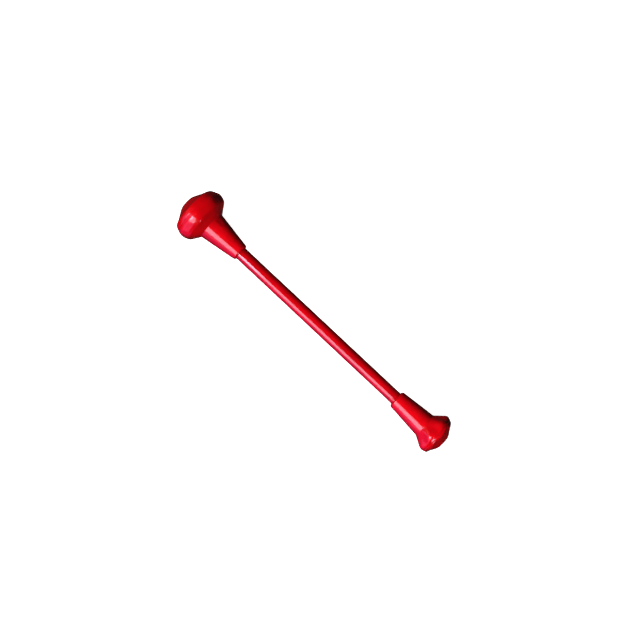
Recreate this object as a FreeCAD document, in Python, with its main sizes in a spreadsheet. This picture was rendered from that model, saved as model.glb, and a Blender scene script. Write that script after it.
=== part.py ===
import FreeCAD, Part

# Twirling baton: a steel tube with a push-on rubber knob at each end (a large ball, a small tip).
# Inside each end of the tube are a steel weight held by a cross pin, and a nylon plug.
#
# Frame: +X runs along the shaft from the ball to the tip, +Z is up, and the origin is the middle of
# the stretch of shaft that shows between the two rubber ends. Lengths are in millimetres.

import math
import os

import Sketcher

# Driving dimensions: alias and value. Along a rubber end, a "run" is a distance from its inner rim
# towards its outer face. A lobe's height is a share of the local radius, and its lean is how far its
# peak is set back towards the rim. A knob's offset moves its middle off the shaft's axis towards its
# first lobe, and its tilt leans it, in degrees, the same way.
SIZES = (
    # Shaft
    ("shaft_diameter", 12.0),
    ("tube_wall", 0.9),
    ("visible_length", 184.8),
    ("edge_break", 0.3),
    # Fits, as radial gaps
    ("socket_gap", 0.05),
    ("insert_gap", 0.02),
    # Plugs
    ("plug_head_diameter", 11.6),
    ("plug_head_height", 2.0),
    ("plug_head_round", 0.8),
    ("plug_stem_length", 8.0),
    ("plug_groove_depth", 0.4),
    ("plug_groove_width", 1.2),
    ("plug_groove_count", 3),
    # Weights, and the slotted pins that hold them
    ("ball_weight_length", 14.0),
    ("tip_weight_length", 60.0),
    ("weight_gap", 1.0),
    ("weight_chamfer", 0.8),
    ("pin_diameter", 2.5),
    ("pin_wall", 0.5),
    ("pin_slot", 0.7),
    ("pin_length", 11.5),
    # Rubber ends
    ("lobe_count", 7),
    ("floor_gap", 0.1),
    ("ball_socket_depth", 50.0),
    ("ball_lobe_height", 0.018),
    ("ball_lobe_lean", 0.2),
    ("ball_lobe_angle", 28.0),
    ("ball_knob_offset", 0.0),
    ("ball_knob_tilt", 0.0),
    ("ball_lip_run", 0.0),
    ("ball_lip_radius", 7.0),
    ("ball_rim_run", 0.8),
    ("ball_rim_radius", 7.9),
    ("ball_neck_run", 34.8),
    ("ball_neck_radius", 13.15),
    ("ball_front_run", 41.8),
    ("ball_front_radius", 22.9),
    ("ball_ridge_run", 48.6),
    ("ball_ridge_radius", 25.05),
    ("ball_groove_run", 52.3),
    ("ball_groove_radius", 23.65),
    ("ball_back_run", 56.8),
    ("ball_back_radius", 21.8),
    ("ball_boss_run", 59.5),
    ("ball_boss_radius", 16.2),
    ("ball_crown_run", 64.1),
    ("ball_crown_radius", 8.2),
    ("ball_face_run", 64.5),
    ("ball_face_radius", 6.8),
    ("tip_socket_depth", 42.0),
    ("tip_lobe_height", 0.026),
    ("tip_lobe_lean", 0.8),
    ("tip_lobe_angle", 1.0),
    ("tip_knob_offset", 0.6),
    ("tip_knob_tilt", 1.6),
    ("tip_lip_run", 0.0),
    ("tip_lip_radius", 7.1),
    ("tip_rim_run", 1.3),
    ("tip_rim_radius", 8.4),
    ("tip_neck_run", 33.4),
    ("tip_neck_radius", 11.4),
    ("tip_front_run", 42.8),
    ("tip_front_radius", 17.8),
    ("tip_ridge_run", 45.2),
    ("tip_ridge_radius", 18.45),
    ("tip_groove_run", 47.1),
    ("tip_groove_radius", 17.55),
    ("tip_back_run", 49.4),
    ("tip_back_radius", 16.85),
    ("tip_boss_run", 52.1),
    ("tip_boss_radius", 12.1),
    ("tip_crown_run", 54.7),
    ("tip_crown_radius", 7.9),
    ("tip_face_run", 55.5),
    ("tip_face_radius", 5.6),
)

# The rings that shape a rubber end, from its rim to its face. Those of the knob are lobed.
STATIONS = ("lip", "rim", "neck", "front", "ridge", "groove", "back", "boss", "crown", "face")
KNOB_STATIONS = ("front", "ridge", "groove", "back")
POINTS_PER_LOBE = 4

# Sketch geometry is drawn at this rough size, and its dimensions then pull it into place.
ROUGH_SIZE = 10

# Two lengths closer than this are the same length.
CLOSE = 1e-4

doc = FreeCAD.newDocument("baton")


def make_sheet():
    """The spreadsheet that holds every driving dimension under its alias."""
    sheet = doc.addObject("Spreadsheet::Sheet", "sizes")
    for row, (alias, value) in enumerate(SIZES, start=1):
        sheet.set(f"A{row}", alias)
        sheet.set(f"B{row}", str(value))
        sheet.setAlias(f"B{row}", alias)
    doc.recompute()
    return sheet


sheet = make_sheet()


def size(alias):
    """The value of one cell, for the shapes that are built in code."""
    return float(sheet.get(alias))


# PartDesign helpers


def new_body(label):
    body = doc.addObject("PartDesign::Body", label + "_body")
    body.Label = label
    return body


def origin_feature(body, role):
    """One of the planes or axes of a body's own origin."""
    return next(feature for feature in body.Origin.OriginFeatures if feature.Role == role)


def new_sketch(body, name, plane):
    sketch = body.newObject("Sketcher::SketchObject", name)
    sketch.AttachmentSupport = (origin_feature(body, plane), "")
    sketch.MapMode = "FlatFace"
    return sketch


def bind(sketch, constraint, name, formula):
    """Adds a dimension to a sketch and ties it to the sheet."""
    index = sketch.addConstraint(constraint)
    sketch.renameConstraint(index, name)
    sketch.setExpression(f"Constraints.{name}", formula)


def add_circle(sketch, name, radius, centre_x=None):
    """A circle round the sketch's origin, or round a point on its X axis."""
    start = FreeCAD.Vector(ROUGH_SIZE if centre_x else 0, 0, 0)
    circle = sketch.addGeometry(Part.Circle(start, FreeCAD.Vector(0, 0, 1), ROUGH_SIZE), False)
    bind(sketch, Sketcher.Constraint("Radius", circle, ROUGH_SIZE), name, radius)
    if centre_x:
        sketch.addConstraint(Sketcher.Constraint("PointOnObject", circle, 3, -1))
        distance = Sketcher.Constraint("DistanceX", -1, 1, circle, 3, ROUGH_SIZE)
        bind(sketch, distance, name + "_x", centre_x)
    else:
        sketch.addConstraint(Sketcher.Constraint("Coincident", circle, 3, -1, 1))


def add_outline(sketch, corners):
    """A closed run of straight lines. Each corner is a pair of formulas, where None means zero."""
    count = len(corners)
    spots = []
    for index in range(count):
        angle = 2 * math.pi * index / count
        spots.append(FreeCAD.Vector(math.cos(angle), math.sin(angle), 0) * ROUGH_SIZE)
    for index in range(count):
        sketch.addGeometry(Part.LineSegment(spots[index], spots[(index + 1) % count]), False)
    for index in range(count):
        sketch.addConstraint(Sketcher.Constraint("Coincident", index, 2, (index + 1) % count, 1))
    for index, (across, upward) in enumerate(corners):
        if across is None:
            sketch.addConstraint(Sketcher.Constraint("PointOnObject", index, 1, -2))
        else:
            distance = Sketcher.Constraint("DistanceX", -1, 1, index, 1, ROUGH_SIZE)
            bind(sketch, distance, f"x_{index}", across)
        if upward is None:
            sketch.addConstraint(Sketcher.Constraint("PointOnObject", index, 1, -1))
        else:
            distance = Sketcher.Constraint("DistanceY", -1, 1, index, 1, ROUGH_SIZE)
            bind(sketch, distance, f"y_{index}", upward)


def pad(body, sketch, name, length):
    feature = body.newObject("PartDesign::Pad", name)
    feature.Profile = sketch
    feature.setExpression("Length", length)
    return feature


def cut_through(body, sketch, name):
    """A pocket that runs both ways from its sketch, right through the body."""
    feature = body.newObject("PartDesign::Pocket", name)
    feature.Profile = sketch
    feature.SideType = "Symmetric"
    feature.Type = "ThroughAll"
    return feature


def turn(body, sketch, name, kind):
    """A full turn of a sketch about the body's X axis: a Revolution or a Groove."""
    feature = body.newObject(f"PartDesign::{kind}", name)
    feature.Profile = sketch
    feature.ReferenceAxis = (sketch, ["H_Axis"])
    feature.Angle = 360
    return feature


def edges_at(shape, run, radius):
    """The names of the round edges whose centre is on the X axis at a run, with a given radius."""
    names = []
    for index, edge in enumerate(shape.Edges, start=1):
        if not isinstance(edge.Curve, Part.Circle):
            continue
        centre = edge.Curve.Center
        misses = (centre.y, centre.z, centre.x - run, edge.Curve.Radius - radius)
        if all(abs(miss) < CLOSE for miss in misses):
            names.append(f"Edge{index}")
    return names


def dress(body, base, name, kind, spots, amount_property, amount):
    """A Chamfer or Fillet on the round edges at each spot, a pair of run and radius."""
    doc.recompute()
    names = []
    for run, radius in spots:
        names += edges_at(base.Shape, run, radius)
    feature = body.newObject(f"PartDesign::{kind}", name)
    feature.Base = (base, names)
    feature.setExpression(amount_property, amount)
    return feature


# Sub-parts


def make_shaft_tube():
    """The steel tube, with a cross hole near each end for the pin that holds a weight."""
    body = new_body("shaft_tube")
    ring = new_sketch(body, "tube_section", "YZ_Plane")
    add_circle(ring, "outer", "sizes.shaft_diameter / 2")
    add_circle(ring, "inner", "sizes.shaft_diameter / 2 - sizes.tube_wall")
    total = "sizes.ball_socket_depth + sizes.visible_length + sizes.tip_socket_depth"
    tube = pad(body, ring, "tube", total)

    holes = new_sketch(body, "pin_hole_circles", "XY_Plane")
    pin_radius = "sizes.pin_diameter / 2"
    ball_lead = "(sizes.plug_stem_length + sizes.weight_gap + sizes.ball_weight_length / 2)"
    tip_lead = "(sizes.plug_stem_length + sizes.weight_gap + sizes.tip_weight_length / 2)"
    add_circle(holes, "ball_hole", pin_radius, ball_lead)
    add_circle(holes, "tip_hole", pin_radius, f"{total} - {tip_lead}")
    drilled = cut_through(body, holes, "pin_holes")

    length = size("ball_socket_depth") + size("visible_length") + size("tip_socket_depth")
    radius = size("shaft_diameter") / 2
    ends = [(0, radius), (length, radius)]
    body.Tip = dress(body, drilled, "tube_edges", "Chamfer", ends, "Size", "sizes.edge_break")
    body.setExpression("Placement.Base.x", "-sizes.visible_length / 2 - sizes.ball_socket_depth")
    return body


def make_weight(end, side):
    """A steel slug in the tube's bore, with a cross hole for its pin. Side is -1 or 1 along X."""
    body = new_body(f"{end}_end_weight")
    disc = new_sketch(body, f"{end}_slug_section", "YZ_Plane")
    add_circle(disc, "slug", "sizes.shaft_diameter / 2 - sizes.tube_wall - sizes.insert_gap")
    slug = pad(body, disc, f"{end}_slug", f"sizes.{end}_weight_length")
    hole = new_sketch(body, f"{end}_slug_hole_circle", "XY_Plane")
    add_circle(hole, "hole", "sizes.pin_diameter / 2", f"sizes.{end}_weight_length / 2")
    drilled = cut_through(body, hole, f"{end}_slug_hole")
    radius = size("shaft_diameter") / 2 - size("tube_wall") - size("insert_gap")
    ends = [(0, radius), (size(f"{end}_weight_length"), radius)]
    body.Tip = dress(body, drilled, f"{end}_slug_edges", "Chamfer", ends, "Size", "sizes.weight_chamfer")
    outer_end = f"(sizes.visible_length / 2 + sizes.{end}_socket_depth)"
    lead = "(sizes.plug_stem_length + sizes.weight_gap)"
    back = f" - sizes.{end}_weight_length" if side > 0 else ""
    body.setExpression("Placement.Base.x", f"{side} * ({outer_end} - {lead}){back}")
    return body


def make_pin(end, side):
    """A slotted spring pin that stands upright through the tube and the weight."""
    names = (f"{end}_pin_outside", f"{end}_pin_inside", f"{end}_pin_slot")
    outside = doc.addObject("Part::Cylinder", names[0])
    outside.setExpression("Radius", "sizes.pin_diameter / 2")
    outside.setExpression("Height", "sizes.pin_length")
    inside = doc.addObject("Part::Cylinder", names[1])
    inside.setExpression("Radius", "sizes.pin_diameter / 2 - sizes.pin_wall")
    inside.setExpression("Height", "sizes.pin_length")
    slot = doc.addObject("Part::Box", names[2])
    slot.setExpression("Length", "sizes.pin_diameter")
    slot.setExpression("Width", "sizes.pin_slot")
    slot.setExpression("Height", "sizes.pin_length")
    slot.setExpression("Placement.Base.y", "-sizes.pin_slot / 2")
    hollow = doc.addObject("Part::Fuse", f"{end}_pin_hollow")
    hollow.Base = inside
    hollow.Tool = slot
    pin = doc.addObject("Part::Cut", f"{end}_pin_cut")
    pin.Base = outside
    pin.Tool = hollow
    pin.Label = f"{end}_end_pin"
    outer_end = f"(sizes.visible_length / 2 + sizes.{end}_socket_depth)"
    lead = f"(sizes.plug_stem_length + sizes.weight_gap + sizes.{end}_weight_length / 2)"
    pin.setExpression("Placement.Base.x", f"{side} * ({outer_end} - {lead})")
    pin.setExpression("Placement.Base.z", "-sizes.pin_length / 2")
    return pin


def make_plug(end, side):
    """A nylon plug: a round head over the tube's cut edge, and a grooved stem in the bore."""
    body = new_body(f"{end}_end_plug")
    outline = new_sketch(body, f"{end}_plug_outline", "XY_Plane")
    head_radius = "sizes.plug_head_diameter / 2"
    stem_radius = "sizes.shaft_diameter / 2 - sizes.tube_wall - sizes.insert_gap"
    corners = (
        ("sizes.plug_head_height", None),
        ("sizes.plug_head_height", head_radius),
        (None, head_radius),
        (None, stem_radius),
        ("-sizes.plug_stem_length", stem_radius),
        ("-sizes.plug_stem_length", None),
    )
    add_outline(outline, corners)
    blank = turn(body, outline, f"{end}_plug_blank", "Revolution")

    notch = new_sketch(body, f"{end}_plug_groove_outline", "XY_Plane")
    near = "-sizes.plug_groove_width"
    far = "-2 * sizes.plug_groove_width"
    floor = f"{stem_radius} - sizes.plug_groove_depth"
    beyond = "sizes.shaft_diameter / 2"
    add_outline(notch, ((near, floor), (near, beyond), (far, beyond), (far, floor)))
    groove = turn(body, notch, f"{end}_plug_groove", "Groove")
    grooves = body.newObject("PartDesign::LinearPattern", f"{end}_plug_grooves")
    grooves.Originals = [groove]
    grooves.Direction = (notch, ["H_Axis"])
    grooves.Reversed = True
    grooves.setExpression("Length", "2 * sizes.plug_groove_width * (sizes.plug_groove_count - 1)")
    grooves.setExpression("Occurrences", "sizes.plug_groove_count")
    body.Tip = grooves

    rims = [(size("plug_head_height"), size("plug_head_diameter") / 2)]
    body.Tip = dress(body, grooves, f"{end}_plug_crown", "Fillet", rims, "Radius", "sizes.plug_head_round")
    facing = 0 if side > 0 else 180
    body.Placement.Rotation = FreeCAD.Rotation(facing, 0, 0)
    body.setExpression("Placement.Base.x", f"{side} * (sizes.visible_length / 2 + sizes.{end}_socket_depth)")
    return body


def make_ring(end, station):
    """A closed curve round the X axis at one station of a rubber end."""
    radius = size(f"{end}_{station}_radius")
    on_knob = 1 if station in KNOB_STATIONS else 0
    height = on_knob * size(f"{end}_lobe_height")
    lean = on_knob * size(f"{end}_lobe_lean")
    offset = on_knob * size(f"{end}_knob_offset")
    tilt = on_knob * math.radians(size(f"{end}_knob_tilt"))
    lobes = round(size("lobe_count"))
    count = POINTS_PER_LOBE * lobes
    points = []
    for index in range(count):
        past_lobe = 2 * math.pi * index / count
        swell = math.cos(lobes * past_lobe)
        reach = radius * (1 + height * swell)
        y = reach * math.cos(past_lobe)
        z = reach * math.sin(past_lobe)
        points.append(FreeCAD.Vector(-lean * swell - tilt * y, y + offset, z))
    curve = Part.BSplineCurve()
    curve.interpolate(Points=points, PeriodicFlag=True)
    ring = doc.addObject("Part::Feature", f"{end}_{station}_ring")
    ring.Shape = Part.Wire([curve.toShape()])
    ring.Placement.Rotation = FreeCAD.Rotation(FreeCAD.Vector(1, 0, 0), size(f"{end}_lobe_angle"))
    ring.setExpression("Placement.Base.x", f"sizes.{end}_{station}_run")
    return ring


def make_rubber_end(end, side):
    """A moulded rubber end: a skin ruled from ring to ring, and a blind socket for the tube."""
    form = doc.addObject("Part::Loft", f"{end}_form")
    form.Sections = [make_ring(end, station) for station in STATIONS]
    form.Solid = True
    form.Ruled = True
    form.Closed = False

    socket = doc.addObject("Part::Cylinder", f"{end}_socket")
    socket.setExpression("Radius", "sizes.shaft_diameter / 2 + sizes.socket_gap")
    depth = f"sizes.{end}_socket_depth + sizes.plug_head_height + sizes.floor_gap"
    socket.setExpression("Height", depth)
    socket.Placement.Rotation = FreeCAD.Rotation(FreeCAD.Vector(0, 0, 1), FreeCAD.Vector(1, 0, 0))

    rubber = doc.addObject("Part::Cut", f"{end}_moulding")
    rubber.Base = form
    rubber.Tool = socket
    rubber.Label = f"{end}_end"
    facing = 0 if side > 0 else 180
    rubber.Placement.Rotation = FreeCAD.Rotation(facing, 0, 0)
    rubber.setExpression("Placement.Base.x", f"{side} * sizes.visible_length / 2")
    return rubber


def make_sub_parts():
    sub_parts = [make_shaft_tube()]
    for end, side in (("ball", -1), ("tip", 1)):
        sub_parts.append(make_rubber_end(end, side))
        sub_parts.append(make_weight(end, side))
        sub_parts.append(make_pin(end, side))
        sub_parts.append(make_plug(end, side))
    return sub_parts


def check(sub_parts):
    """Stops before anything is written if an object failed or a shape is unusable."""
    for item in doc.Objects:
        if "Invalid" in item.State or "Error" in item.State:
            raise RuntimeError(f"{item.Label} failed: {item.State}")
    for item in sub_parts:
        if item.Shape.isNull() or not item.Shape.isValid() or len(item.Shape.Solids) != 1:
            raise RuntimeError(f"{item.Label} is not one valid solid")


sub_parts = make_sub_parts()
doc.recompute()
check(sub_parts)
os.makedirs("parts", exist_ok=True)
for item in sub_parts:
    item.Shape.exportStep(f"parts/{item.Label}.step")
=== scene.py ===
import math

import bmesh
import bpy
import numpy as np
from mathutils import Matrix, Vector
from mathutils.bvhtree import BVHTree


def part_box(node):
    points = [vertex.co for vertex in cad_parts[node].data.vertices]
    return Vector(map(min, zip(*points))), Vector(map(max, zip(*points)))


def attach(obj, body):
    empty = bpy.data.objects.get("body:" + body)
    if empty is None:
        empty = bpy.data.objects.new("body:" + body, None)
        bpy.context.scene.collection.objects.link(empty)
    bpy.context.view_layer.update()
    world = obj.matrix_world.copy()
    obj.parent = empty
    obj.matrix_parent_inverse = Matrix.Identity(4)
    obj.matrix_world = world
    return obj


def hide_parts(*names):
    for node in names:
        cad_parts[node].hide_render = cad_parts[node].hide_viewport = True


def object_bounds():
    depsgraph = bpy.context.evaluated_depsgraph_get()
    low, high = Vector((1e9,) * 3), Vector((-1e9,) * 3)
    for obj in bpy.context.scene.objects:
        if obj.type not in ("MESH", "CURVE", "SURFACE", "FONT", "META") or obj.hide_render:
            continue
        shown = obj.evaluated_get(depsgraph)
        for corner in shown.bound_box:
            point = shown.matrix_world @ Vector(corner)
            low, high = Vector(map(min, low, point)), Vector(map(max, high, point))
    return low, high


# A twirling baton: a painted steel tube with a moulded rubber knob pushed on each end, and inside
# the tube a nylon plug, a steel weight and a spring pin at each end. Lengths are in metres. The X
# axis runs along the shaft from the ball to the tip. An "outward" of -1 or 1 is an end's side.

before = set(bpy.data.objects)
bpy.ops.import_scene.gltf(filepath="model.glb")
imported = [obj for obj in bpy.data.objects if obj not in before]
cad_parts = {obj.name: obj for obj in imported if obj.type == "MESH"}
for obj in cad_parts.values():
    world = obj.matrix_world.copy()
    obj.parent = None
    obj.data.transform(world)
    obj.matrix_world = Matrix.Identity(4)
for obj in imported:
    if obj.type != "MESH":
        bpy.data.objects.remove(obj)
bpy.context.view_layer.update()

MM = 0.001
TINY = 0.01 * MM
ENDS = (("ball", -1), ("tip", 1))

# Moulded ends
HARMONICS_KEPT = 21           # waves round a ring, which is three to each of the seven lobes
TURN_STEPS = 210              # points round a ring
RUN_STEP = 0.25 * MM          # between rings of the outer skin
SOCKET_STEP = 1.5 * MM        # between rings of the socket
LIP_ROUND = 0.2 * MM          # how far the mould's edges are softened on the cone
KNOB_ROUND = {"ball": 2.0 * MM, "tip": 1.2 * MM}   # and on the knob
KNOB_START = (0.68, 0.85)     # shares of the widest radius between which one turns to the other
WAVE_HEIGHT = 0.03 * MM       # slow unevenness of the skin
WAVE_LENGTH = 20 * MM
WAVE_START = (6.6 * MM, 9 * MM)   # radii between which the unevenness sets in
BORE_PROBE = 10 * MM          # how far into a socket its bore is felt
SEAMS = {                     # groove round a knob: run past its ridge, depth, lip and width
    "ball": (4.2 * MM, 0.15 * MM, 0.03 * MM, 0.4 * MM),
    "tip": (2.4 * MM, 0.2 * MM, 0.1 * MM, 0.5 * MM),
}
GATE_RADIUS = 1.8 * MM        # dimple where the mould was filled
GATE_DEPTH = 0.5 * MM
MOUTH_CHAMFER = 0.5 * MM
KNOCKED_RADII = (24.4 * MM, 25.8 * MM)   # radii between which scuffs set in

# Tube, weights, pins and plugs
ROUND_STEPS = 128
HOLE_STEPS = 8                # per quarter of a pin hole's edge
PATCH_REACH = 1.5             # half a hole's square patch of skin, in hole radii
SKIN_STEP = 6 * MM            # between rings of a plain stretch
EDGE_BREAK = 0.3 * MM
SLUG_CHAMFER = 0.8 * MM
PIN_WALL = 0.5 * MM
PIN_SLOT = 0.7 * MM
PIN_CHAMFER = 0.25 * MM
PIN_STEPS = 40
PLUG_GROOVES = 3
PLUG_GROOVE = 1.2 * MM        # width of a groove and of the rib beside it
PLUG_GROOVE_DEPTH = 0.4 * MM
PLUG_ROUND = 0.8 * MM
PLUG_ROUND_STEPS = 7
PLUG_DIMPLE = 0.7 * MM
SMOOTH_ANGLE = math.radians(32)
WELD = TINY / 100             # corners closer than this are one corner

# Linear colours
RED = (0.80, 0.0008, 0.006)
DEEP_RED = (0.66, 0.0004, 0.004)
PAINT_RED = (0.70, 0.0006, 0.005)
DEEP_PAINT_RED = (0.58, 0.0004, 0.004)
SCUFFED_RED = (0.82, 0.03, 0.04)
PAINTED_RIM_SHADE_RED = (0.20, 0.0002, 0.0015)   # painted shade, darkening the red where the surface turns away from the eye
STEEL = (0.56, 0.55, 0.53)
DULL_STEEL = (0.36, 0.34, 0.31)
BLACK_OXIDE = (0.035, 0.036, 0.04)
NYLON = (0.80, 0.78, 0.70)
AGED_NYLON = (0.74, 0.70, 0.58)
FLOOR_WHITE = (0.9, 0.9, 0.9)
KEY_COLOUR = (1.0, 1.0, 1.3)
FRINGE_COLOUR = (0.85, 0.52, 1.5)
LOW_COLOUR = (0.5, 0.08, 0.52)
BODY_COLOUR = (1.0, 1.0, 1.0)

# Stage
SOFTBOX_DISTANCE = 0.6
SIDE_LIGHT = Vector((-0.95, -0.15, 0.25))   # the place of the lamp past the ball
SIDE_LIGHT_SIZE = 0.6
FLOOR_REACH = 4.0
FLOOR_GLOW = 1.0
ROOM_DIM = 0.02
CAMERA_LENS = 75.3            # mm, on a 36 mm sensor
CAMERA_DISTANCE = 1.1356
CAMERA_AIM = Vector((-11.2, 5.0, 0)) * MM
CAMERA_LEAN = 0.058           # from +Z towards +X, in radians
CAMERA_ROLL = math.radians(43.12)


# Reading the CAD's shapes


def surface_of(node):
    """A ray-cast tree of a CAD node's mesh."""
    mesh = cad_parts[node].data
    corners = [vertex.co for vertex in mesh.vertices]
    faces = [tuple(face.vertices) for face in mesh.polygons]
    return BVHTree.FromPolygons(corners, faces)


def ends_of(node, outward):
    """A node's inner and outer end along the X axis."""
    low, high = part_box(node)
    return (low.x, high.x) if outward > 0 else (high.x, low.x)


def radius_of(node):
    """A round node's outer radius."""
    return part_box(node)[1].z


def bore_radius(node, x):
    """The radius of a bore round the X axis, felt from the axis."""
    return surface_of(node).ray_cast(Vector((x, 0, 0)), Vector((0, 1, 0)))[0].y


def turns(count):
    return np.linspace(0, 2 * math.pi, count, endpoint=False)


def outer_radii(tree, x, reach):
    """The skin's radius in each direction round one place on the X axis."""
    radii = []
    for turn in turns(TURN_STEPS):
        outward = Vector((0, math.cos(turn), math.sin(turn)))
        hit = tree.ray_cast(Vector((x, 0, 0)) + outward * reach, -outward)[0]
        radii.append(math.hypot(hit.y, hit.z))
    return np.array(radii)


def without_facets(radii):
    """Keeps a ring's lobes, and drops the flat facets of the CAD mesh."""
    spectrum = np.fft.rfft(radii)
    spectrum[HARMONICS_KEPT + 1:] = 0
    return np.fft.irfft(spectrum, TURN_STEPS)


# Shaping the moulded ends


def blurred(rows, spread):
    """Rows smoothed down each column by a bell curve, with the first and last row held."""
    half = int(math.ceil(3 * spread))
    weights = np.exp(-0.5 * (np.arange(-half, half + 1) / spread) ** 2)
    weights /= weights.sum()
    head = 2 * rows[0] - rows[half:0:-1]
    tail = 2 * rows[-1] - rows[-2:-half - 2:-1]
    padded = np.concatenate([head, rows, tail])
    return sum(weight * padded[shift:shift + len(rows)] for shift, weight in enumerate(weights))


def evenly_spaced(x, r):
    """Resamples outlines, one in each column of x and r, to points about RUN_STEP apart."""
    gaps = np.hypot(np.diff(x, axis=0), np.diff(r, axis=0))
    travelled = np.concatenate([np.zeros((1, TURN_STEPS)), np.cumsum(gaps, axis=0)])
    stops = np.linspace(0, 1, int(math.ceil(travelled[-1].mean() / RUN_STEP)) + 1)
    new_x = np.empty((len(stops), TURN_STEPS))
    new_r = np.empty((len(stops), TURN_STEPS))
    for column in range(TURN_STEPS):
        share = travelled[:, column] / travelled[-1, column]
        new_x[:, column] = np.interp(stops, share, x[:, column])
        new_r[:, column] = np.interp(stops, share, r[:, column])
    return new_x, new_r


def smooth_step(values, low, high):
    share = np.clip((values - low) / (high - low), 0, 1)
    return share * share * (3 - 2 * share)


def cad_skin(node, outward, mouth_radius):
    """The CAD's outer skin from the mouth to the middle of the face, as tables of x and radius."""
    mouth_x, face_x = ends_of(node, outward)
    low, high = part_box(node)
    tree = surface_of(node)
    reach = 2 * max(high.y, high.z)
    runs = np.arange(TINY, abs(face_x - mouth_x) - TINY, RUN_STEP)
    places = mouth_x + outward * runs
    rings = [without_facets(outer_radii(tree, place, reach)) for place in places]
    x = np.concatenate([[mouth_x], places, [face_x, face_x]])
    x = np.repeat(x[:, None], TURN_STEPS, axis=1)
    mouth = np.full(TURN_STEPS, mouth_radius)
    r = np.array([mouth, *rings, rings[-1], np.zeros(TURN_STEPS)])
    return evenly_spaced(x, r)


def softened(rows, spread):
    """Blurred rows, moved back out by as much as a second blur would pull them in."""
    once = blurred(rows, spread)
    return 2 * once - blurred(once, spread)


def rounded(end, x, r):
    """The skin with its edges softened, more on the knob than on the cone."""
    spread = KNOB_ROUND[end] / RUN_STEP
    widths = r.mean(axis=1) / r.max()
    on_knob = blurred(smooth_step(widths, *KNOB_START)[:, None], spread)
    sharp_x = blurred(x, LIP_ROUND / RUN_STEP)
    sharp_r = blurred(r, LIP_ROUND / RUN_STEP)
    new_x = sharp_x + on_knob * (softened(x, spread) - sharp_x)
    new_r = sharp_r + on_knob * (softened(r, spread) - sharp_r)
    return new_x, new_r


def relief(end, x, r, outward):
    """How far the skin stands out from its plain form: a lipped groove, and slow unevenness."""
    past_ridge, depth, lip, width = SEAMS[end]
    ridge_x = x.mean(axis=1)[np.argmax(r.mean(axis=1))]
    past_seam = (outward * (x - ridge_x) - past_ridge) / width
    seam = lip * np.exp(-(past_seam - 2) ** 2) - depth * np.exp(-past_seam ** 2)
    angles = turns(TURN_STEPS)[None, :]
    along = 2 * math.pi * x / WAVE_LENGTH
    waves = np.sin(along + 2 * angles) * np.cos(0.6 * along - 3 * angles + 1)
    return seam + WAVE_HEIGHT * waves * smooth_step(r, *WAVE_START)


def gate_dip(x, r, outward):
    """The skin with a shallow round dimple in the middle of its face."""
    face_x = outward * np.max(outward * x)
    near_face = np.abs(x - face_x) < 2 * GATE_DEPTH
    depth = GATE_DEPTH * (1 - smooth_step(r, 0.6 * GATE_RADIUS, GATE_RADIUS))
    return np.where(near_face, x - outward * depth, x)


def socket_skin(node, outward, radius):
    """The blind socket from its floor's middle to just short of the mouth."""
    mouth_x, face_x = ends_of(node, outward)
    probe = Vector((mouth_x, TINY, TINY))
    floor_x = surface_of(node).ray_cast(probe, Vector((outward, 0, 0)))[0].x
    count = int(abs(floor_x - mouth_x) / SOCKET_STEP)
    places = np.linspace(floor_x, mouth_x + outward * MOUTH_CHAMFER, count)
    radii = np.full(count, radius)
    x = np.concatenate([[floor_x, floor_x], places])
    r = np.concatenate([[0, radius / 2], radii])
    ones = np.ones((1, TURN_STEPS))
    return x[:, None] * ones, r[:, None] * ones


def moulded_end(end, outward, material):
    """A rubber knob with its cone, and the blind socket that the tube sits in."""
    node = f"{end}_end"
    mouth_x = ends_of(node, outward)[0]
    bore = bore_radius(node, mouth_x + outward * BORE_PROBE)
    x, r = rounded(end, *cad_skin(node, outward, bore + MOUTH_CHAMFER))
    r = r + relief(end, x, r, outward) * smooth_step(r, 0, GATE_RADIUS)
    x = gate_dip(x, r, outward)
    inner_x, inner_r = socket_skin(node, outward, bore)
    cosines = np.cos(turns(TURN_STEPS))
    sines = np.sin(turns(TURN_STEPS))
    rings = []
    for ring_x, ring_r in zip([*inner_x, *x], [*inner_r, *r]):
        rings.append(list(zip(ring_x, ring_r * cosines, ring_r * sines)))
    return add_piece(f"{end}_moulding", quads(rings), material, end, node)


# Building pieces


def quads(rings, closed=True):
    """Faces between neighbouring rings. Every ring is a list of as many points."""
    count = len(rings[0])
    faces = []
    for near, far in zip(rings, rings[1:]):
        for index in range(count if closed else count - 1):
            beside = (index + 1) % count
            faces.append((near[index], far[index], far[beside], near[beside]))
    return faces


def add_piece(name, faces, material, body, node):
    """A mesh, given as faces of corner points, that stands for a CAD node and rides on a body."""
    corners = [tuple(map(float, corner)) for face in faces for corner in face]
    sides = len(faces[0])
    indices = [tuple(range(first, first + sides)) for first in range(0, len(corners), sides)]
    mesh = bpy.data.meshes.new(name)
    mesh.from_pydata(corners, [], indices)
    work = bmesh.new()
    work.from_mesh(mesh)
    bmesh.ops.remove_doubles(work, verts=work.verts, dist=WELD)
    bmesh.ops.recalc_face_normals(work, faces=work.faces)
    work.to_mesh(mesh)
    work.free()
    mesh.shade_smooth()
    mesh.set_sharp_from_angle(angle=SMOOTH_ANGLE)
    mesh.materials.append(material)
    piece = bpy.data.objects.new(name, mesh)
    bpy.context.scene.collection.objects.link(piece)
    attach(piece, body)
    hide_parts(node)
    return piece


def ring_at(x, radius):
    return [(x, radius * math.cos(turn), radius * math.sin(turn)) for turn in turns(ROUND_STEPS)]


def lathed(outline):
    """Faces of an outline, given as pairs of x and radius, turned about the X axis."""
    return quads([ring_at(x, radius) for x, radius in outline])


def square_rim():
    """Points round a square from -1 to 1, as many to each side as a pin hole's patch has cells."""
    steps = np.linspace(-1, 1, 2 * HOLE_STEPS, endpoint=False)
    right = [(1, step) for step in steps]
    top = [(-step, 1) for step in steps]
    left = [(-1, -step) for step in steps]
    bottom = [(step, -1) for step in steps]
    return right + top + left + bottom


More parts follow.
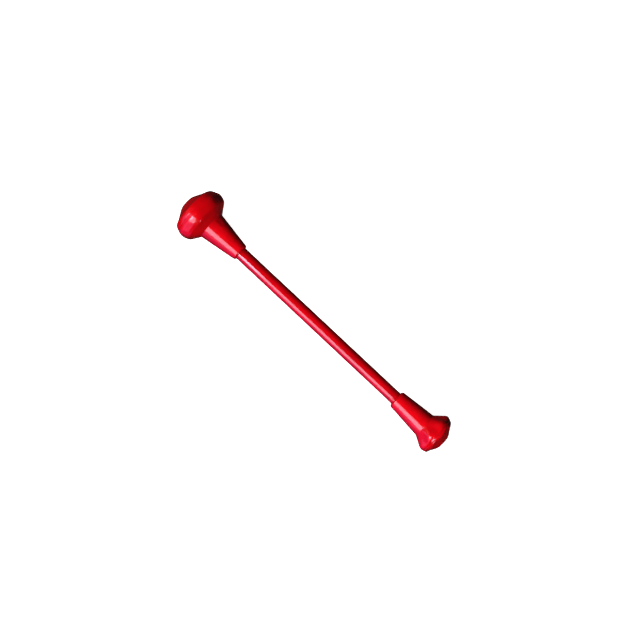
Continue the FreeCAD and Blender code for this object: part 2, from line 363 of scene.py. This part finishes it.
def hole_edge(hole, hole_radius, radius, side):
    """Where an upright pin hole meets a round skin, above the axis or, with side -1, below it."""
    points = []
    for along, across in square_rim():
        length = math.hypot(along, across)
        y = hole_radius * across / length
        points.append((hole + hole_radius * along / length, y, side * math.sqrt(radius ** 2 - y ** 2)))
    return points


def patch_edge(hole, half_patch, radius, side):
    """The rim of the square patch of skin that surrounds a pin hole."""
    points = []
    for along, across in square_rim():
        turn = side * (math.pi / 2 - across * HOLE_STEPS * 2 * math.pi / ROUND_STEPS)
        points.append((hole + along * half_patch, radius * math.cos(turn), radius * math.sin(turn)))
    return points


def in_hole_patch(step):
    """Whether a strip of skin runs through the patches above or below the axis."""
    quarter = ROUND_STEPS / 4
    return min(abs(step + 0.5 - quarter), abs(step + 0.5 - 3 * quarter)) < HOLE_STEPS


def drilled(start, stop, radius, holes, hole_radius):
    """A round skin from start to stop, open where pin holes cross it above and below."""
    half_patch = PATCH_REACH * hole_radius
    faces = []
    edge = start
    for hole in sorted(holes):
        near = hole - half_patch
        far = hole + half_patch
        faces += plain_skin(edge, near, radius)
        places = np.linspace(near, far, 2 * HOLE_STEPS + 1)
        strips = quads([ring_at(x, radius) for x in places])
        faces += [strip for index, strip in enumerate(strips) if not in_hole_patch(index % ROUND_STEPS)]
        for side in (-1, 1):
            rim = patch_edge(hole, half_patch, radius, side)
            faces += quads([rim, hole_edge(hole, hole_radius, radius, side)])
        edge = far
    return faces + plain_skin(edge, stop, radius)


def plain_skin(start, stop, radius):
    count = max(1, round((stop - start) / SKIN_STEP))
    return quads([ring_at(x, radius) for x in np.linspace(start, stop, count + 1)])


def pin_place(end):
    """Where a pin stands along the shaft, and its radius."""
    low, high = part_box(f"{end}_end_pin")
    return (low.x + high.x) / 2, high.y


def shaft(material):
    """The tube: outer skin, bore, broken outer edges and the two pin holes."""
    low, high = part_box("shaft_tube")
    radius = radius_of("shaft_tube")
    bore = bore_radius("shaft_tube", 0)
    holes = [pin_place(end)[0] for end, outward in ENDS]
    hole_radius = pin_place("ball")[1]
    faces = drilled(low.x + EDGE_BREAK, high.x - EDGE_BREAK, radius, holes, hole_radius)
    faces += drilled(low.x, high.x, bore, holes, hole_radius)
    faces += lathed([(low.x, bore), (low.x, radius - EDGE_BREAK), (low.x + EDGE_BREAK, radius)])
    faces += lathed([(high.x, bore), (high.x, radius - EDGE_BREAK), (high.x - EDGE_BREAK, radius)])
    for hole in holes:
        for side in (-1, 1):
            outer_edge = hole_edge(hole, hole_radius, radius, side)
            faces += quads([outer_edge, hole_edge(hole, hole_radius, bore, side)])
    return add_piece("painted_shaft", faces, material, "shaft", "shaft_tube")


def weight(end, material):
    """A turned steel bar with chamfered ends and a cross hole for its pin."""
    node = f"{end}_end_weight"
    low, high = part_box(node)
    radius = radius_of(node)
    hole, hole_radius = pin_place(end)
    faces = drilled(low.x + SLUG_CHAMFER, high.x - SLUG_CHAMFER, radius, [hole], hole_radius)
    faces += quads([hole_edge(hole, hole_radius, radius, side) for side in (-1, 1)])
    faces += lathed([(low.x + SLUG_CHAMFER, radius), (low.x, radius - SLUG_CHAMFER), (low.x, 0)])
    faces += lathed([(high.x - SLUG_CHAMFER, radius), (high.x, radius - SLUG_CHAMFER), (high.x, 0)])
    return add_piece(f"{end}_slug", faces, material, "shaft", node)


def pin_arc(centre, radius, z):
    """A pin's round wall at one height, as far as its slot, which faces +X."""
    open_half = math.asin(PIN_SLOT / 2 / radius)
    arc = np.linspace(open_half, 2 * math.pi - open_half, PIN_STEPS + 1)
    return [(centre + radius * math.cos(turn), radius * math.sin(turn), z) for turn in arc]


def spring_pin(end, material):
    """A rolled pin with a slot down one side and chamfered ends."""
    node = f"{end}_end_pin"
    low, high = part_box(node)
    centre, radius = pin_place(end)
    inner = radius - PIN_WALL
    levels = (
        (low.z, radius - PIN_CHAMFER),
        (low.z + PIN_CHAMFER, radius),
        (high.z - PIN_CHAMFER, radius),
        (high.z, radius - PIN_CHAMFER),
    )
    sections = []
    for z, outer in levels:
        sections.append(pin_arc(centre, outer, z) + pin_arc(centre, inner, z)[::-1])
    faces = quads(sections)
    for z, outer in (levels[0], levels[-1]):
        faces += quads([pin_arc(centre, outer, z), pin_arc(centre, inner, z)], closed=False)
    return add_piece(f"{end}_spring_pin", faces, material, "shaft", node)


def plug(end, outward, material):
    """A nylon plug: grooved stem, head with a rounded rim, and a gate dimple."""
    node = f"{end}_end_plug"
    stem_x, head_x = ends_of(node, outward)
    collar_x = ends_of("shaft_tube", outward)[1]
    head = radius_of(node)
    stem = outer_radii(surface_of(node), collar_x - outward * PLUG_GROOVE / 2, head * 2)[0]
    outline = [(stem_x, 0), (stem_x, stem)]
    for groove in reversed(range(PLUG_GROOVES)):
        near = collar_x - outward * PLUG_GROOVE * (2 * groove + 2)
        far = near + outward * PLUG_GROOVE
        floor = stem - PLUG_GROOVE_DEPTH
        outline += [(near, stem), (near, floor), (far, floor), (far, stem)]
    outline += [(collar_x, stem), (collar_x, head)]
    for turn in np.linspace(0, math.pi / 2, PLUG_ROUND_STEPS):
        x = head_x - outward * PLUG_ROUND * (1 - math.sin(turn))
        outline.append((x, head - PLUG_ROUND * (1 - math.cos(turn))))
    dimple_x = head_x - outward * PLUG_DIMPLE / 2
    outline += [(head_x, 2 * PLUG_DIMPLE), (dimple_x, PLUG_DIMPLE), (dimple_x, 0)]
    return add_piece(f"{end}_nylon_plug", lathed(outline), material, "shaft", node)


# Materials


class Nodes:
    """A new material's node tree, with short ways to add to it."""

    def __init__(self, name):
        self.material = bpy.data.materials.new(name)
        self.material.use_nodes = True
        self.tree = self.material.node_tree
        self.shader = self.tree.nodes["Principled BSDF"]
        self.place = self.add("ShaderNodeTexCoord").outputs["Object"]

    def add(self, kind, **settings):
        node = self.tree.nodes.new(kind)
        for setting, value in settings.items():
            setattr(node, setting, value)
        return node

    def feed(self, socket, value):
        """Links an output to a socket, or sets the socket to a plain value."""
        if isinstance(value, bpy.types.NodeSocket):
            self.tree.links.new(value, socket)
        else:
            socket.default_value = value

    def set(self, **values):
        """Feeds the shader's sockets, named with _ for a space."""
        for name, value in values.items():
            self.feed(self.shader.inputs[name.replace("_", " ")], value)

    def stretched(self, x=1.0, y=1.0, z=1.0):
        mapping = self.add("ShaderNodeMapping")
        self.feed(mapping.inputs["Vector"], self.place)
        mapping.inputs["Scale"].default_value = (x, y, z)
        return mapping.outputs["Vector"]

    def noise(self, grain, detail=2.0, place=None):
        """Smooth noise from 0 to 1 with features about one grain wide."""
        texture = self.add("ShaderNodeTexNoise")
        self.feed(texture.inputs["Vector"], place or self.place)
        texture.inputs["Scale"].default_value = 1 / grain
        texture.inputs["Detail"].default_value = detail
        return texture.outputs["Fac"]

    def rings(self, pitch):
        """Fine lathe marks across the X axis, from 0 to 1."""
        texture = self.add("ShaderNodeTexWave", bands_direction="X")
        self.feed(texture.inputs["Vector"], self.place)
        texture.inputs["Scale"].default_value = math.pi / 10 / pitch
        texture.inputs["Distortion"].default_value = 0.6
        return texture.outputs["Fac"]

    def ramp(self, value, low, high, to_low=0.0, to_high=1.0):
        """A value eased from one range to another."""
        node = self.add("ShaderNodeMapRange", interpolation_type="SMOOTHSTEP")
        for socket, amount in zip(node.inputs, (value, low, high, to_low, to_high)):
            self.feed(socket, amount)
        return node.outputs[0]

    def math(self, operation, *values):
        node = self.add("ShaderNodeMath", operation=operation)
        for socket, value in zip(node.inputs, values):
            self.feed(socket, value)
        return node.outputs[0]

    def mix(self, share, first, second):
        """A colour part way from the first to the second."""
        node = self.add("ShaderNodeMix", data_type="RGBA")
        self.feed(node.inputs[0], share)
        self.feed(node.inputs[6], (*first, 1) if isinstance(first, tuple) else first)
        self.feed(node.inputs[7], (*second, 1) if isinstance(second, tuple) else second)
        return node.outputs[2]

    def bump(self, height, depth, under=None):
        """A normal roughened by a 0 to 1 height map that is so many metres deep."""
        node = self.add("ShaderNodeBump")
        node.inputs["Distance"].default_value = depth
        self.feed(node.inputs["Height"], height)
        if under:
            self.feed(node.inputs["Normal"], under)
        return node.outputs["Normal"]

    def turned_away(self):
        """0 where the surface faces the eye, and 1 where it is seen edge on: the mask for painted edge shade.
        """
        return self.add("ShaderNodeLayerWeight").outputs["Facing"]

    def axis_distance(self):
        """How far a point is from the X axis."""
        flat = self.stretched(x=0.0)
        node = self.add("ShaderNodeVectorMath", operation="LENGTH")
        self.feed(node.inputs[0], flat)
        return node.outputs["Value"]

    def along(self, axis):
        """The place along X, Y or Z, in metres."""
        node = self.add("ShaderNodeSeparateXYZ")
        self.feed(node.inputs[0], self.place)
        return node.outputs[axis]


def moulded_red():
    """Glossy red vinyl rubber: soft sheen, faint orange peel, a knocked widest edge, and painted shade that
    darkens it where it is seen edge on.
    """
    nodes = Nodes("moulded_red")
    tint = nodes.ramp(nodes.noise(18 * MM, 3.0), 0.35, 0.65)
    smudge = nodes.ramp(nodes.noise(5 * MM, 4.0), 0.4, 0.7, 0.10, 0.17)
    scuff = nodes.ramp(nodes.noise(0.8 * MM, 5.0), 0.55, 0.68)
    knocked = nodes.ramp(nodes.axis_distance(), *KNOCKED_RADII)
    worn = nodes.math("MULTIPLY", scuff, knocked)
    peel = nodes.bump(nodes.noise(1.1 * MM, 2.0), 0.004 * MM)
    # Painted shade: the red is mixed towards a dark red where the surface is seen edge on.
    red = nodes.mix(nodes.turned_away(), nodes.mix(tint, RED, DEEP_RED), PAINTED_RIM_SHADE_RED)
    nodes.set(
        Base_Color=nodes.mix(worn, red, SCUFFED_RED),
        Roughness=nodes.math("ADD", smudge, nodes.math("MULTIPLY", worn, 0.3)),
        IOR=1.5,
        Normal=nodes.bump(nodes.noise(0.25 * MM, 2.0), 0.0006 * MM, peel),
    )
    return nodes.material


def red_enamel():
    """Gloss red paint on steel tube, rubbed through under the knobs and absent inside, with painted shade
    darkening it where it is seen edge on.
    """
    nodes = Nodes("red_enamel")
    x = nodes.along("X")
    ball_mouth = ends_of("ball_end", -1)[0]
    tip_mouth = ends_of("tip_end", 1)[0]
    under_ball = nodes.ramp(x, ball_mouth - 8 * MM, ball_mouth - 1 * MM, 1.0, 0.0)
    under_tip = nodes.ramp(x, tip_mouth + 1 * MM, tip_mouth + 8 * MM)
    under_knob = nodes.math("MAXIMUM", under_ball, under_tip)
    streaks = nodes.noise(0.9 * MM, 4.0, nodes.stretched(x=0.05))
    patches = nodes.noise(7 * MM, 3.0)
    rubbed = nodes.ramp(nodes.math("ADD", streaks, nodes.math("MULTIPLY", patches, 0.5)), 0.80, 0.92)
    rubbed = nodes.math("MULTIPLY", rubbed, under_knob)
    low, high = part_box("shaft_tube")
    from_ball = nodes.math("SUBTRACT", x, low.x)
    from_tip = nodes.math("SUBTRACT", high.x, x)
    last_edge = nodes.ramp(nodes.math("MINIMUM", from_ball, from_tip), 0.5 * MM, 2 * MM, 1.0, 0.0)
    wall_middle = (radius_of("shaft_tube") + bore_radius("shaft_tube", 0)) / 2
    inside = nodes.math("LESS_THAN", nodes.axis_distance(), wall_middle)
    bare = nodes.math("MAXIMUM", nodes.math("MAXIMUM", rubbed, inside), last_edge)
    dulled = nodes.math("MULTIPLY", under_knob, 0.22)
    tint = nodes.ramp(nodes.noise(30 * MM, 2.0), 0.35, 0.65)
    # Painted shade: the red is mixed towards a dark red where the surface is seen edge on.
    red = nodes.mix(nodes.turned_away(), nodes.mix(tint, PAINT_RED, DEEP_PAINT_RED), PAINTED_RIM_SHADE_RED)
    steel = nodes.mix(patches, STEEL, DULL_STEEL)
    draw_lines = nodes.bump(nodes.noise(0.6 * MM, 3.0, nodes.stretched(x=0.02)), 0.0012 * MM)
    gloss = nodes.ramp(nodes.noise(6 * MM, 4.0), 0.4, 0.7, 0.07, 0.12)
    nodes.set(
        Base_Color=nodes.mix(bare, red, steel),
        Metallic=bare,
        Roughness=nodes.math("ADD", nodes.math("MAXIMUM", gloss, dulled), nodes.math("MULTIPLY", bare, 0.25)),
        IOR=1.5,
        Normal=nodes.bump(nodes.noise(4 * MM, 2.0), 0.003 * MM, draw_lines),
    )
    return nodes.material


def turned_steel():
    """Bright steel bar with lathe rings and a few oil stains."""
    nodes = Nodes("turned_steel")
    stain = nodes.ramp(nodes.noise(4 * MM, 5.0), 0.5, 0.7)
    nodes.set(
        Base_Color=nodes.mix(stain, STEEL, DULL_STEEL),
        Metallic=1.0,
        Roughness=nodes.ramp(stain, 0.0, 1.0, 0.22, 0.4),
        Normal=nodes.bump(nodes.rings(0.22 * MM), 0.006 * MM),
    )
    return nodes.material


def blackened_steel():
    """Black oxide on spring steel, polished off at the pin's ends."""
    nodes = Nodes("blackened_steel")
    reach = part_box("ball_end_pin")[1].z
    near_end = nodes.ramp(nodes.math("ABSOLUTE", nodes.along("Z")), reach - 0.7 * MM, reach)
    grain = nodes.noise(0.5 * MM, 5.0)
    polished = nodes.math("MULTIPLY", near_end, nodes.ramp(grain, 0.35, 0.6))
    nodes.set(
        Base_Color=nodes.mix(polished, BLACK_OXIDE, STEEL),
        Metallic=nodes.ramp(polished, 0.0, 1.0, 0.7, 1.0),
        Roughness=nodes.ramp(grain, 0.3, 0.7, 0.28, 0.45),
        Normal=nodes.bump(grain, 0.004 * MM),
    )
    return nodes.material


def natural_nylon():
    """Milky off-white nylon with a matt moulded skin."""
    nodes = Nodes("natural_nylon")
    cloud = nodes.ramp(nodes.noise(3 * MM, 3.0), 0.35, 0.65)
    grain = nodes.noise(0.3 * MM, 3.0)
    nodes.set(
        Base_Color=nodes.mix(cloud, NYLON, AGED_NYLON),
        Roughness=nodes.ramp(grain, 0.3, 0.7, 0.32, 0.48),
        Subsurface_Weight=0.25,
        Subsurface_Scale=1.5 * MM,
        Normal=nodes.bump(grain, 0.006 * MM),
    )
    return nodes.material


# Stage


def aim(thing, place, back, roll=0.0):
    """Puts a camera or lamp at a place, looking against the vector back."""
    back = back.normalized()
    across = Vector((0, 1, 0)).cross(back).normalized()
    upright = Matrix((across, back.cross(across), back)).transposed()
    turned = upright @ Matrix.Rotation(roll, 3, "Z")
    thing.matrix_world = Matrix.Translation(place) @ turned.to_4x4()


def panel(name, place, back, length, width, radiance, colour, lights):
    """A rectangular lamp that faces against the vector back, for gloss or for the body colour."""
    lamp = bpy.data.lights.new(name, "AREA")
    lamp.shape = "RECTANGLE"
    lamp.size = length
    lamp.size_y = width
    lamp.energy = radiance * math.pi * length * width
    lamp.color = colour
    piece = bpy.data.objects.new(name, lamp)
    bpy.context.scene.collection.objects.link(piece)
    aim(piece, place, back)
    piece.visible_camera = False
    piece.visible_diffuse = lights == "body"
    piece.visible_glossy = lights == "gloss"


def softbox(name, angles, x_range, radiance, colour, lights, distance=SOFTBOX_DISTANCE):
    """A panel beside the shaft. Angles are from +Z towards -Y, seen from the shaft."""
    low, high = (math.radians(angle) for angle in angles)
    middle = (low + high) / 2
    back = Vector((0, -math.sin(middle), math.cos(middle)))
    place = back * distance + Vector((sum(x_range) / 2, 0, 0))
    width = 2 * distance * math.tan((high - low) / 2)
    panel(name, place, back, x_range[1] - x_range[0], width, radiance, colour, lights)


def pale_floor():
    """A wide floor under the baton, which glows so white that it shows no shadow."""
    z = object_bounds()[0].z
    mesh = bpy.data.meshes.new("floor")
    reach = FLOOR_REACH
    corners = [(-reach, -reach, z), (reach, -reach, z), (reach, reach, z), (-reach, reach, z)]
    mesh.from_pydata(corners, [], [(0, 1, 2, 3)])
    nodes = Nodes("floor_white")
    nodes.set(
        Base_Color=(*FLOOR_WHITE, 1),
        Roughness=1.0,
        Specular_IOR_Level=0.0,
        Emission_Color=(1, 1, 1, 1),
        Emission_Strength=FLOOR_GLOW,
    )
    mesh.materials.append(nodes.material)
    floor = bpy.data.objects.new("floor", mesh)
    bpy.context.scene.collection.objects.link(floor)
    floor.visible_glossy = False
    floor.visible_diffuse = False
    floor.visible_shadow = False


def white_room():
    """White to the eye, and dim in what it adds to the baton."""
    world = bpy.data.worlds.new("room")
    bpy.context.scene.world = world
    world.use_nodes = True
    tree = world.node_tree
    seen = tree.nodes.new("ShaderNodeLightPath").outputs["Is Camera Ray"]
    strength = tree.nodes.new("ShaderNodeMapRange")
    tree.links.new(seen, strength.inputs["Value"])
    strength.inputs["To Min"].default_value = ROOM_DIM
    strength.inputs["To Max"].default_value = 1.0
    background = tree.nodes["Background"]
    background.inputs["Color"].default_value = (1, 1, 1, 1)
    tree.links.new(strength.outputs["Result"], background.inputs["Strength"])


def camera():
    """Looks almost straight down on the baton, turned so that it lies across the frame."""
    lens = bpy.data.cameras.new("camera")
    lens.lens = CAMERA_LENS
    lens.clip_end = 10
    eye = bpy.data.objects.new("camera", lens)
    bpy.context.scene.collection.objects.link(eye)
    back = Vector((math.sin(CAMERA_LEAN), 0, math.cos(CAMERA_LEAN)))
    aim(eye, CAMERA_AIM + back * CAMERA_DISTANCE, back, CAMERA_ROLL)
    bpy.context.scene.camera = eye


vinyl = moulded_red()
steel = turned_steel()
black = blackened_steel()
nylon = natural_nylon()
shaft(red_enamel())
for end, outward in ENDS:
    moulded_end(end, outward, vinyl)
    weight(end, steel)
    spring_pin(end, black)
    plug(end, outward, nylon)

pale_floor()
white_room()
softbox("key_gloss", (24, 62), (-0.45, 0.12), 5.5, KEY_COLOUR, "gloss")
softbox("core_gloss", (26, 52), (-0.40, -0.13), 9.0, KEY_COLOUR, "gloss")
softbox("end_gloss", (22, 62), (0.29, 0.50), 10.0, KEY_COLOUR, "gloss", 0.15)
softbox("far_gloss", (24, 90), (-0.92, -0.66), 1.2, FRINGE_COLOUR, "gloss")
softbox("fringe_gloss", (62, 86), (-0.5, 0.12), 1.0, FRINGE_COLOUR, "gloss")
softbox("low_gloss", (86, 125), (-0.5, 0.5), 1.0, LOW_COLOUR, "gloss")
softbox("body_light", (21, 51), (-1.7, 1.6), 5.2, BODY_COLOUR, "body")
panel("side_light", SIDE_LIGHT, SIDE_LIGHT, SIDE_LIGHT_SIZE, SIDE_LIGHT_SIZE, 3.2, BODY_COLOUR, "body")
softbox("under_light", (-185, -145), (-0.5, 0.5), 2.2, BODY_COLOUR, "body")
camera()
bpy.context.scene.view_settings.view_transform = "Standard"
